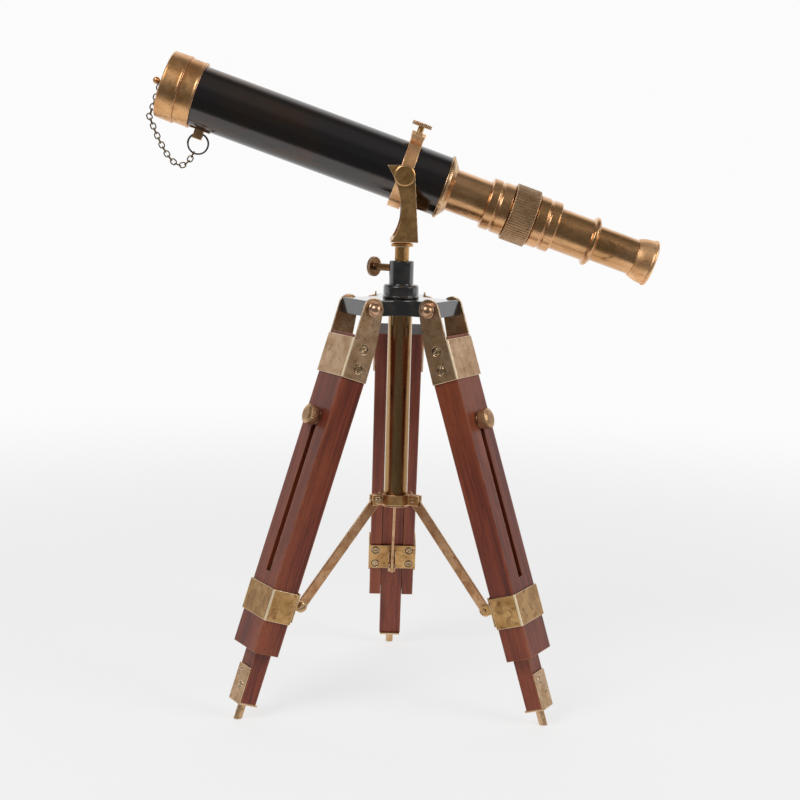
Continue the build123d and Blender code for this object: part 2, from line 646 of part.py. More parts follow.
YOKE_SIDE = Plane(origin=(0, 0, YOKE_BASE), x_dir=(1, 0, 0), z_dir=(0, -1, 0))
FOOT_LEFT, FOOT_RIGHT = -8.2, 9.9
ARM_ROUND = 6.7
ARM_TOP = TILT_HEIGHT - YOKE_BASE + ARM_ROUND
HORN = -11.2
STEM_RIVET = 3.0
with BuildPart() as yoke:
    with BuildSketch(YOKE_SIDE):
        with BuildLine():
            Polyline((FOOT_LEFT, 0), (FOOT_RIGHT, 0), (ARM_ROUND, ARM_TOP - ARM_ROUND))
            RadiusArc((ARM_ROUND, ARM_TOP - ARM_ROUND), (0, ARM_TOP), -ARM_ROUND)
            Line((0, ARM_TOP), (HORN, ARM_TOP - 0.3))
            ThreePointArc((HORN, ARM_TOP - 0.3), (-4.4, 35.5), (-1.5, 20.0))
            ThreePointArc((-1.5, 20.0), (-3.3, 9.0), (FOOT_LEFT, 0))
        make_face()
    extrude(amount=YOKE_GAP / 2 + YOKE_SHEET, both=True)
    with BuildSketch(YOKE_SIDE):
        with Locations((0, YOKE_SHEET)):
            Rectangle(4 * FOOT_RIGHT, 2 * ARM_TOP, align=(MIDDLE, LOW))
    extrude(amount=YOKE_GAP / 2, both=True, mode=Mode.SUBTRACT)
    with BuildSketch(TILT_PLANE):
        Circle(TRUNNION_SCREW + FIT)
    extrude(amount=YOKE_GAP, both=True, mode=Mode.SUBTRACT)
    with BuildSketch(Plane.XY.offset(YOKE_BASE)):
        Circle(STEM_RIVET + FIT)
    extrude(amount=YOKE_SHEET, mode=Mode.SUBTRACT)
write(yoke, "yoke")

PIVOT_DISC = 6.9
arm_face = YOKE_GAP / 2 + YOKE_SHEET
screw_depth = arm_face - TUBE_RADIUS - 0.6
pivot_spots = [
    Plane(origin=(0, side * arm_face, TILT_HEIGHT), x_dir=(1, 0, 0), z_dir=(0, side, 0))
    for side in (-1, 1)
]
with BuildPart(*pivot_spots) as pivot_screws:
    Cylinder(TRUNNION_SCREW, screw_depth, align=(MIDDLE, MIDDLE, HIGH))
    Cylinder(PIVOT_DISC, 1.6, align=(MIDDLE, MIDDLE, LOW))
    with Locations((0, 0, 1.6)):
        Cone(PIVOT_DISC, PIVOT_DISC - 0.9, 0.6, align=(MIDDLE, MIDDLE, LOW))
write(pivot_screws, "pivot_screws")

STEM_FOOT = 276.0
yoke_stem = turned([
    (0, STEM_FOOT), (STEM_RADIUS, STEM_FOOT), (STEM_RADIUS, 307.8),
    (STEM_FLANGE_RADIUS, 307.8), (STEM_FLANGE_RADIUS, 309.6), (5.6, 310.2), (5.6, YOKE_BASE),
    (STEM_RIVET, YOKE_BASE), (STEM_RIVET, YOKE_BASE + YOKE_SHEET),
    (STEM_RIVET + 1.2, YOKE_BASE + YOKE_SHEET),
    (3.6, YOKE_BASE + YOKE_SHEET + 1.0), (0, YOKE_BASE + YOKE_SHEET + 1.2),
], plane=SECTION, axis=Axis.Z)
write(yoke_stem, "yoke_stem")

LOCK_SCREW_RADIUS = 2.4
lock_normal = outward(LOCK_AZIMUTH)
with BuildPart() as azimuth_socket:
    with BuildSketch(SECTION):
        with BuildLine():
            Polyline((STEM_RADIUS + RUNNING, HEAD_TOP), (SOCKET_FOOT_RADIUS, HEAD_TOP),
                     (SOCKET_FOOT_RADIUS + 0.5, HEAD_TOP + 0.5),
                     (SOCKET_FOOT_RADIUS + 0.5, HEAD_TOP + 1.4),
                     (SOCKET_FOOT_RADIUS, HEAD_TOP + 1.9),
                     (SOCKET_FOOT_RADIUS, SOCKET_STEP - 1.6),
                     (SOCKET_FOOT_RADIUS - 0.8, SOCKET_STEP - 0.4),
                     (SOCKET_FOOT_RADIUS - 2.0, SOCKET_STEP), (SOCKET_RADIUS, SOCKET_STEP),
                     (SOCKET_RADIUS, SOCKET_TOP - 0.6), (SOCKET_RADIUS - 0.6, SOCKET_TOP),
                     (STEM_RADIUS + RUNNING, SOCKET_TOP), close=True)
        make_face()
    revolve(axis=Axis.Z)
    with BuildSketch(Plane(origin=(0, 0, LOCK_HEIGHT), z_dir=lock_normal)):
        Circle(LOCK_SCREW_RADIUS + RUNNING)
    extrude(amount=SOCKET_RADIUS + 1.0, mode=Mode.SUBTRACT)
write(azimuth_socket, "azimuth_socket")

LOCK_SPOT = Plane(origin=lock_normal * SOCKET_RADIUS + Vector(0, 0, LOCK_HEIGHT),
                  z_dir=lock_normal)
azimuth_lock_screw = thumb_screw(LOCK_SPOT, LOCK_SCREW_RADIUS, 14.0,
                                 SOCKET_RADIUS - STEM_RADIUS - 0.1)
write(azimuth_lock_screw, "azimuth_lock_screw")

# ---- tripod head and column ----------------------------------------------

BOLT_RADIUS = 2.2
with BuildPart() as head_plate:
    with BuildSketch(Plane.XY.offset(HEAD_BOTTOM)) as arms:
        for azimuth in LEG_AZIMUTHS:
            with Locations(Location((0, 0, 0), (0, 0, azimuth))):
                Rectangle(ARM_REACH, ARM_WIDTH, align=(LOW, MIDDLE))
        inner = arms.vertices().sort_by_distance((0, 0, HEAD_BOTTOM))[:3]
        fillet(inner, radius=13.0)
    extrude(amount=HEAD_TOP - HEAD_BOTTOM)
    for azimuth in LEG_AZIMUTHS:
        arm_side = Plane(origin=(0, 0, 0), x_dir=outward(azimuth), z_dir=-sideways(azimuth))
        with BuildSketch(arm_side):
            with BuildLine():
                Polyline((ARM_REACH - 12.5, HEAD_BOTTOM + 1.0), (ARM_REACH, HEAD_BOTTOM + 1.0),
                         (ARM_REACH, KNUCKLE_BOTTOM + 4.0))
                RadiusArc((ARM_REACH, KNUCKLE_BOTTOM + 4.0),
                          (ARM_REACH - 5.0, KNUCKLE_BOTTOM), 4.6)
                Polyline((ARM_REACH - 5.0, KNUCKLE_BOTTOM), (ARM_REACH - 8.0, KNUCKLE_BOTTOM),
                         (ARM_REACH - 12.5, HEAD_BOTTOM + 1.0))
            make_face()
        extrude(amount=ARM_WIDTH / 2, both=True)
    fillet(head_plate.faces().sort_by(Axis.Z)[-1].edges(), radius=0.8)
    for azimuth in LEG_AZIMUTHS:
        bolt_line = Plane(origin=outward(azimuth) * LEG_PIVOT_RADIUS + Vector(0, 0, LEG_PIVOT_HEIGHT),
                          z_dir=sideways(azimuth))
        with BuildSketch(bolt_line):
            Circle(BOLT_RADIUS + FIT)
        extrude(amount=ARM_WIDTH, both=True, mode=Mode.SUBTRACT)
    with BuildSketch(Plane.XY.offset(HEAD_BOTTOM)):
        Circle(COLUMN_BORE_RADIUS + FIT)
    extrude(amount=HEAD_TOP - HEAD_BOTTOM, mode=Mode.SUBTRACT)
write(head_plate, "head_plate")

# The tube's spigot stands in the head; its foot flange stops the spreader
SPIGOT_TOP = 272.0
COLUMN_INNER = 5.4
column = turned([
    (COLUMN_INNER, COLUMN_FOOT), (9.4, COLUMN_FOOT), (9.4, COLUMN_FOOT + 1.4),
    (COLUMN_RADIUS, COLUMN_FOOT + 1.4), (COLUMN_RADIUS, HEAD_BOTTOM),
    (COLUMN_BORE_RADIUS, HEAD_BOTTOM), (COLUMN_BORE_RADIUS, SPIGOT_TOP),
    (COLUMN_INNER, SPIGOT_TOP),
], plane=SECTION, axis=Axis.Z)
write(column, "column")

# ---- legs -----------------------------------------------------------------

wood_inner = WOOD_OFFSET - WOOD_DEPTH / 2
wood_outer = WOOD_OFFSET + WOOD_DEPTH / 2
half_wood = WOOD_WIDTH / 2
ear_inner = half_wood + FIT
ear_outer = ear_inner + SHEET
PLATE_SCREW_SPREAD = 24.6
PLATE_SCREW_DROP = 11.4
PLATE_SCREW_LENGTH = 6.0
FOOT_SCREW_HEAD = 2.3
KNOB_SCREW = 1.9
KNOB_RADIUS = 6.5
KNOB_HEIGHT = 5.6
KNOB_NECK = 0.8
WASHER = 1.0
WASHER_RADIUS = 5.6
extension_outer = EXTENSION_OFFSET + EXTENSION_DEPTH / 2


def bracket_screw_points():
    return [(WOOD_OFFSET, -down) for down in BRACKET_SCREW_DOWNS]


def plate_screw_points():
    middle = -(PLATE_TOP + PLATE_BOTTOM) / 2
    return [(side * PLATE_SCREW_SPREAD / 2, middle + rank * PLATE_SCREW_DROP / 2)
            for side in (-1, 1) for rank in (-1, 1)]


def wooden_leg(frame):
    """Channel-shaped leg with a slot for the locking knob and pilot holes for screws."""
    length = WOOD_BOTTOM - WOOD_TOP
    with BuildPart(frame) as leg:
        with Locations((WOOD_OFFSET, 0, -WOOD_TOP)):
            Box(WOOD_DEPTH, WOOD_WIDTH, length, align=(MIDDLE, MIDDLE, HIGH))
        chamfer(leg.edges().filter_by(Axis((0, 0, 0), frame.z_dir)), length=0.6)
        with Locations((wood_inner, 0, -CHANNEL_TOP)):
            Box(CHANNEL_DEPTH, CHANNEL_WIDTH, WOOD_BOTTOM - CHANNEL_TOP,
                align=(LOW, MIDDLE, HIGH), mode=Mode.SUBTRACT)
        with Locations((wood_outer, 0, -(SLOT_TOP + SLOT_BOTTOM) / 2)):
            Box(2 * WOOD_DEPTH, SLOT_WIDTH, SLOT_BOTTOM - SLOT_TOP, mode=Mode.SUBTRACT)
        with Locations(*[(r, 0, z) for r, z in bracket_screw_points()]):
            Cylinder(PIN_RADIUS + FIT, WOOD_WIDTH + 1, rotation=(90, 0, 0), mode=Mode.SUBTRACT)
        with Locations(*[(wood_inner, y, z) for y, z in plate_screw_points()]):
            Cylinder(PIN_RADIUS + FIT, 2 * PLATE_SCREW_LENGTH, rotation=(0, 90, 0),
                     mode=Mode.SUBTRACT)
    return leg


def outer_corners(piece, frame):
    """Edges along the leg where a wrapped sheet is bent round the leg's outer face."""
    corners = []
    for edge in piece.edges().filter_by(Axis((0, 0, 0), frame.z_dir)):
        middle = frame.to_local_coords(edge.center())
        if middle.X > wood_outer + SHEET / 2 and abs(middle.Y) > half_wood + SHEET / 2:
            corners.append(edge)
    return corners


def top_bracket(frame):
    """Brass sheet wrapped round the leg's top, with two ears up to the pivot bolt."""
    with BuildPart(frame) as bracket:
        with Locations((wood_outer + FIT, 0, -BRACKET_TOP)):
            Box(SHEET, 2 * ear_outer, BRACKET_BOTTOM - BRACKET_TOP, align=(LOW, MIDDLE, HIGH))
        for side in (-1, 1):
            side_plane = Plane(origin=frame.from_local_coords(Vector(0, side * ear_inner, 0)),
                               x_dir=frame.x_dir, z_dir=frame.y_dir * side)
            up = -side
            with BuildSketch(side_plane):
                with BuildLine():
                    Polyline((EAR_RADIUS, 0), (EAR_RADIUS - 0.4, -up * BRACKET_TOP),
                             (wood_outer + FIT + SHEET, -up * BRACKET_TOP),
                             (wood_outer + FIT + SHEET, -up * BRACKET_BOTTOM),
                             (wood_inner, -up * BRACKET_BOTTOM),
                             (wood_inner + 0.8, -up * BRACKET_TOP), (-EAR_RADIUS, 0))
                    ThreePointArc((-EAR_RADIUS, 0), (0, up * EAR_RADIUS), (EAR_RADIUS, 0))
                make_face()
            extrude(amount=SHEET)
        fillet(outer_corners(bracket, frame), radius=BEND_RADIUS)
        Cylinder(BOLT_RADIUS + RUNNING, WOOD_WIDTH * 2, rotation=(90, 0, 0), mode=Mode.SUBTRACT)
        with Locations(*[(r, 0, z) for r, z in bracket_screw_points()]):
            Cylinder(PIN_RADIUS + FIT, WOOD_WIDTH * 2, rotation=(90, 0, 0), mode=Mode.SUBTRACT)
        with Locations(*[(r, side * ear_outer, z)
                         for side in (-1, 1) for r, z in bracket_screw_points()]):
            Cylinder(SCREW_HEAD_RADIUS + SINK_MARGIN, 2 * SCREW_SINK, rotation=(90, 0, 0),
                     mode=Mode.SUBTRACT)
    return bracket


def lower_band(frame):
    """Brass sheet wrapped round the outside and both sides of the leg."""
    length = BAND_BOTTOM - BAND_TOP
    with BuildPart(frame) as band:
        with Locations((wood_inner, 0, -BAND_TOP)):
            Box(WOOD_DEPTH + FIT + SHEET, 2 * ear_outer, length, align=(LOW, MIDDLE, HIGH))
        with Locations((wood_inner - 1, 0, -BAND_TOP)):
            Box(WOOD_DEPTH + FIT + 1, 2 * ear_inner, length, align=(LOW, MIDDLE, HIGH),
                mode=Mode.SUBTRACT)
        fillet(outer_corners(band, frame), radius=BEND_RADIUS)
    return band


def hinge_plate(frame):
    """Plate across the channel with a two-eared lug for the strut."""
    with BuildPart(frame) as plate:
        with Locations((wood_inner - FIT, 0, -PLATE_TOP)):
            Box(SHEET, 2 * ear_outer, PLATE_BOTTOM - PLATE_TOP, align=(HIGH, MIDDLE, HIGH))
        lug_plane = Plane(origin=frame.from_local_coords(Vector(0, 0, -LUG_DOWN)),
                          x_dir=frame.x_dir, z_dir=frame.y_dir)
        with BuildSketch(lug_plane):
            with Locations((-LUG_REACH, 0)):
                Circle(LUG_RADIUS)
            with Locations((wood_inner - SHEET / 2, 0)):
                Rectangle(LUG_REACH + wood_inner - SHEET / 2, 2 * LUG_RADIUS, align=(HIGH, MIDDLE))
        extrude(amount=LUG_GAP / 2 + SHEET, both=True)
        with BuildSketch(lug_plane):
            with Locations((wood_inner - SHEET - FIT, 0)):
                Rectangle(2 * LUG_REACH, 4 * LUG_RADIUS, align=(HIGH, MIDDLE))
        extrude(amount=LUG_GAP / 2, both=True, mode=Mode.SUBTRACT)
        with BuildSketch(lug_plane):
            with Locations((-LUG_REACH, 0)):
                Circle(PIN_RADIUS + FIT)
        extrude(amount=WOOD_WIDTH, both=True, mode=Mode.SUBTRACT)
        with Locations(*[(wood_inner, y, z) for y, z in plate_screw_points()]):
            Cylinder(PIN_RADIUS + FIT, 4 * SHEET, rotation=(0, 90, 0), mode=Mode.SUBTRACT)
        with Locations(*[(wood_inner - FIT - SHEET, y, z) for y, z in plate_screw_points()]):
            Cylinder(SCREW_HEAD_RADIUS + SINK_MARGIN, 2 * SCREW_SINK, rotation=(0, 90, 0),
                     mode=Mode.SUBTRACT)
    return plate


def leg_screws(frame, first_spin):
    """Four bracket screws, four plate screws, all sunk, and the lug's hinge screw."""
    side_seat = ear_outer + FIT - SCREW_SINK
    front_seat = wood_inner - 2 * FIT - SHEET + SCREW_SINK
    sides = [in_frame(frame, (r, side * side_seat, z), (0, side, 0), first_spin + 47 * n)
             for side in (-1, 1) for n, (r, z) in enumerate(bracket_screw_points())]
    fronts = [in_frame(frame, (front_seat, y, z), (-1, 0, 0), first_spin + 61 * n)
              for n, (y, z) in enumerate(plate_screw_points())]
    lug = in_frame(frame, (-LUG_REACH, LUG_GAP / 2 + SHEET, -LUG_DOWN), (0, 1, 0), first_spin)
    wood_screws = slotted_screws(sides + fronts, head_radius=SCREW_HEAD_RADIUS, shank=5.6)
    lug_screw = slotted_screws([lug], head_radius=3.2, shank=LUG_GAP + 2 * SHEET + 1.0)
    with BuildPart() as screws:
        add(wood_screws.part)
        add(lug_screw.part)
    return screws


def foot_screw_points():
    return [(-2.6, -(FOOT_PLATE_TOP + 5.0)), (2.6, -(FOOT_PLATE_TOP + 12.0))]


def extension(frame):
    """Sliding inner leg with a hole for the locking knob's screw."""
    with BuildPart(frame) as bar:
        with Locations((EXTENSION_OFFSET, 0, -EXTENSION_TOP)):
            Box(EXTENSION_DEPTH, EXTENSION_WIDTH, EXTENSION_BOTTOM - EXTENSION_TOP,
                align=(MIDDLE, MIDDLE, HIGH))
        chamfer(bar.edges().filter_by(Axis((0, 0, 0), frame.z_dir)), length=0.4)
        with Locations((EXTENSION_OFFSET + EXTENSION_DEPTH / 2, 0, -KNOB_DOWN)):
            Cylinder(KNOB_SCREW + FIT, 14.0, rotation=(0, 90, 0), mode=Mode.SUBTRACT)
        with Locations(*[(extension_outer, y, z) for y, z in foot_screw_points()]):
            Cylinder(PIN_RADIUS + FIT, 12.0, rotation=(0, 90, 0), mode=Mode.SUBTRACT)
    return bar


def foot(frame, first_spin):
    """Bent plate over the extension's end with a riveted pin, and its two screws."""
    plate_face = extension_outer + FIT + SHEET
    half_width = EXTENSION_WIDTH / 2 - 0.3
    under = EXTENSION_DEPTH + SHEET + 1.4
    with BuildPart(frame) as plate:
        with Locations((extension_outer + FIT, 0, -FOOT_PLATE_TOP)):
            Box(SHEET, 2 * half_width, EXTENSION_BOTTOM + SHEET - FOOT_PLATE_TOP,
                align=(LOW, MIDDLE, HIGH))
        with Locations((extension_outer + FIT + SHEET, 0, -EXTENSION_BOTTOM - FIT)):
            Box(under, 2 * half_width, SHEET, align=(HIGH, MIDDLE, HIGH))
        with Locations((EXTENSION_OFFSET, 0, -EXTENSION_BOTTOM - SHEET / 2)):
            Cylinder(FOOT_PIN_RADIUS, 20.0, align=(MIDDLE, MIDDLE, HIGH))
        with Locations(*[(extension_outer, y, z) for y, z in foot_screw_points()]):
            Cylinder(PIN_RADIUS + FIT, 4 * SHEET, rotation=(0, 90, 0), mode=Mode.SUBTRACT)
        with Locations(*[(plate_face, y, z) for y, z in foot_screw_points()]):
            Cylinder(FOOT_SCREW_HEAD + SINK_MARGIN, 2 * SCREW_SINK, rotation=(0, 90, 0),
                     mode=Mode.SUBTRACT)
    spots = [in_frame(frame, (plate_face + FIT - SCREW_SINK, y, z), (1, 0, 0),
                      first_spin + 73 * n) for n, (y, z) in enumerate(foot_screw_points())]
    screws = slotted_screws(spots, head_radius=FOOT_SCREW_HEAD, shank=5.0)
    with BuildPart() as whole:
        add(plate.part)
        # the pin is cut level with the floor
        with BuildSketch(Plane.XY):
            Rectangle(400.0, 400.0)
        extrude(amount=-40.0, mode=Mode.SUBTRACT)
        add(screws.part)
    return whole


def lock_knob(frame):
    """Knurled knob on a washer; its screw runs through the slot into the extension."""
    spot = in_frame(frame, (wood_outer + FIT, 0, -KNOB_DOWN), (1, 0, 0), 0)
    teeth, notch = 30, 0.42
    base = WASHER + KNOB_NECK
    with BuildPart(spot) as knob:
        Cylinder(WASHER_RADIUS, WASHER, align=(MIDDLE, MIDDLE, LOW))
        Cylinder(KNOB_SCREW, 13.0, align=(MIDDLE, MIDDLE, HIGH))
        with Locations((0, 0, WASHER)):
            Cylinder(KNOB_RADIUS - 1.5, KNOB_NECK, align=(MIDDLE, MIDDLE, LOW))
        with Locations((0, 0, base)):
            Cylinder(KNOB_RADIUS, KNOB_HEIGHT, align=(MIDDLE, MIDDLE, LOW))
        with Locations((0, 0, base + KNOB_HEIGHT)):
            Cone(KNOB_RADIUS, KNOB_RADIUS - 2.2, 1.0, align=(MIDDLE, MIDDLE, LOW))
        with Locations((0, 0, base)):
            with PolarLocations(KNOB_RADIUS + 0.1, teeth):
                Cylinder(notch, KNOB_HEIGHT + 1.0, align=(MIDDLE, MIDDLE, LOW),
                         mode=Mode.SUBTRACT)
    return knob


# ---- spreader ---------------------------------------------------------------

splay_reach = LEG_PIVOT_RADIUS + LUG_DOWN * sin(splay) - LUG_REACH * cos(splay)
splay_level = LEG_PIVOT_HEIGHT - LUG_DOWN * cos(splay) - LUG_REACH * sin(splay)


def strut(azimuth):
    """Flat bar from the spreader collar to the leg's lug, with a roomy lower eye."""
    start = outward(azimuth) * STRUT_TOP_RADIUS + Vector(0, 0, STRUT_TOP_HEIGHT)
    end = outward(azimuth) * splay_reach + Vector(0, 0, splay_level)
    span = (end - start).length
    plane = Plane(origin=start, x_dir=end - start, z_dir=sideways(azimuth))
    with BuildPart() as bar:
        with BuildSketch(plane):
            with Locations((span / 2, 0)):
                Rectangle(span, STRUT_WIDTH)
            Circle(STRUT_WIDTH / 2)
            with Locations((span, 0)):
                Circle(STRUT_EYE_RADIUS)
                Circle(STRUT_EYE_HOLE, mode=Mode.SUBTRACT)
            Circle(PIN_RADIUS + RUNNING, mode=Mode.SUBTRACT)
        extrude(amount=STRUT_THICKNESS / 2, both=True)
    return bar


COLLAR_BASE = STRUT_TOP_HEIGHT - COLLAR_HEIGHT / 2
COLLAR_RING = 11.4
EAR_REACH = 19.0
EAR_GAP = 1.9
EAR_SHEET = 1.5
with BuildPart() as spreader_collar:
    with BuildSketch(Plane.XY.offset(COLLAR_BASE)):
        Circle(COLLAR_RING)
        for azimuth in LEG_AZIMUTHS:
            with Locations(Location((0, 0, 0), (0, 0, azimuth))):
                Rectangle(EAR_REACH, EAR_GAP + 2 * EAR_SHEET, align=(LOW, MIDDLE))
        for azimuth in LEG_AZIMUTHS:
            with Locations(Location((0, 0, 0), (0, 0, azimuth))):
                with Locations((COLUMN_RADIUS + 1.6, 0)):
                    Rectangle(EAR_REACH, EAR_GAP, align=(LOW, MIDDLE),
                              mode=Mode.SUBTRACT)
        Circle(COLUMN_RADIUS + RUNNING, mode=Mode.SUBTRACT)
    extrude(amount=COLLAR_HEIGHT)
    for azimuth in LEG_AZIMUTHS:
        pin_line = Plane(origin=outward(azimuth) * STRUT_TOP_RADIUS + Vector(0, 0, STRUT_TOP_HEIGHT),
                         z_dir=sideways(azimuth))
        with BuildSketch(pin_line):
            Circle(PIN_RADIUS + FIT)
        extrude(amount=COLLAR_HEIGHT, both=True, mode=Mode.SUBTRACT)
write(spreader_collar, "spreader_collar")

spreader_spots = []
for number, azimuth in enumerate(LEG_AZIMUTHS):
    ear_face = EAR_GAP / 2 + EAR_SHEET
    place = (outward(azimuth) * STRUT_TOP_RADIUS + sideways(azimuth) * ear_face
             + Vector(0, 0, STRUT_TOP_HEIGHT))
    spreader_spots.append(facing(place, sideways(azimuth), 40 * number))
spreader_screws = slotted_screws(spreader_spots, head_radius=3.0,
                                 shank=EAR_GAP + 2 * EAR_SHEET + 0.8)
write(spreader_screws, "spreader_screws")

# ---- leg pivot bolts with domed nuts ------------------------------------------

NUT_BASE_RADIUS = 4.9
NUT_BASE = 1.9
DOME_RADIUS = 4.5
bolt_spots = []
for azimuth in LEG_AZIMUTHS:
    middle = outward(azimuth) * LEG_PIVOT_RADIUS + Vector(0, 0, LEG_PIVOT_HEIGHT)
    bolt_spots.append(Plane(origin=middle, z_dir=sideways(azimuth)))
nut_face = ear_outer + FIT
with BuildPart(*bolt_spots) as leg_pivot_bolts:
    Cylinder(BOLT_RADIUS, 2 * nut_face)
    with Locations((0, 0, nut_face)):
        Cylinder(NUT_BASE_RADIUS, NUT_BASE, align=(MIDDLE, MIDDLE, LOW))
    with Locations((0, 0, -nut_face)):
        Cylinder(NUT_BASE_RADIUS, NUT_BASE, align=(MIDDLE, MIDDLE, HIGH))
    with Locations((0, 0, nut_face + NUT_BASE)):
        Sphere(DOME_RADIUS, arc_size1=0, align=(MIDDLE, MIDDLE, LOW))
    with Locations((0, 0, -nut_face - NUT_BASE)):
        Sphere(DOME_RADIUS, arc_size1=0, rotation=(180, 0, 0), align=(MIDDLE, MIDDLE, LOW))
write(leg_pivot_bolts, "leg_pivot_bolts")

for number, azimuth in enumerate(LEG_AZIMUTHS, start=1):
    frame = leg_frame(azimuth)
    spin = 25 * number
    write(wooden_leg(frame), f"leg_{number}")
    write(top_bracket(frame), f"leg_{number}_top_bracket")
    write(lower_band(frame), f"leg_{number}_band")
    write(hinge_plate(frame), f"leg_{number}_hinge_plate")
    write(leg_screws(frame, spin), f"leg_{number}_screws")
    write(extension(frame), f"leg_{number}_extension")
    write(foot(frame, spin), f"leg_{number}_foot")
    write(lock_knob(frame), f"leg_{number}_lock_knob")
    write(strut(azimuth), f"strut_{number}")
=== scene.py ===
import json
import math

import bpy
from mathutils import Matrix, Vector

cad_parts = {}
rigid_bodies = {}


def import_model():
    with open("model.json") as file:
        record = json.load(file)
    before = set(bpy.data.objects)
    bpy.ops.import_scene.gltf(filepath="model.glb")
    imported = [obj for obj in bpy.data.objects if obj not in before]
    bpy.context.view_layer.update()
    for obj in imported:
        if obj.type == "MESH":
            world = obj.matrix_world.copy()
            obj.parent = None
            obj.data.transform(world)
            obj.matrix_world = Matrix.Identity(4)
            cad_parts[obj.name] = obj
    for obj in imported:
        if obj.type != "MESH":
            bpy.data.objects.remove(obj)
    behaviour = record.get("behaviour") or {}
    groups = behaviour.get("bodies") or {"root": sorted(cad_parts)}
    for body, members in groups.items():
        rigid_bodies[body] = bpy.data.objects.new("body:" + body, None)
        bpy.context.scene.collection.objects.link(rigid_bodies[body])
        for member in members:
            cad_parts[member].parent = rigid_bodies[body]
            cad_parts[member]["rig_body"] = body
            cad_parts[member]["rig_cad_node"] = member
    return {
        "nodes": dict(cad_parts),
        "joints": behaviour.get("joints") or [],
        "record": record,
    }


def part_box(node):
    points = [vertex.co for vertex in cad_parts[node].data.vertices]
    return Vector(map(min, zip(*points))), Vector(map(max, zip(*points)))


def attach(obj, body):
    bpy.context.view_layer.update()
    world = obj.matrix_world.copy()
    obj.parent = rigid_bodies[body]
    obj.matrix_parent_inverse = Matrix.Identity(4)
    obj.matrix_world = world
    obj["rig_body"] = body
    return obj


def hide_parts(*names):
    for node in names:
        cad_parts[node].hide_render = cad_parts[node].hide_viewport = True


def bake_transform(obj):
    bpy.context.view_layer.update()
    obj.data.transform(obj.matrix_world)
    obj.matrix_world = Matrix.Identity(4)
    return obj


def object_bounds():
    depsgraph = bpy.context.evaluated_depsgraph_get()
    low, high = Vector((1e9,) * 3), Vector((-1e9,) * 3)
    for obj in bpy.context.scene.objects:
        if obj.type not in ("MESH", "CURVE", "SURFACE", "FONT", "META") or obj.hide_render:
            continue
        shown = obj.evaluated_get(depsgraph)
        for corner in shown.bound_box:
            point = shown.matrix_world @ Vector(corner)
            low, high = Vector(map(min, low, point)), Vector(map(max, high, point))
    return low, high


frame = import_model()
cad_low, cad_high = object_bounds()
nodes = frame["nodes"]
joints = {joint["name"]: joint for joint in frame["joints"]}
slots = {part["node"]: part["material_slot"] for part in frame["record"]["subparts"]}

MILLIMETRES = 1000.0
LEGS = (1, 2, 3)


# ---- shader building blocks ------------------------------------------------

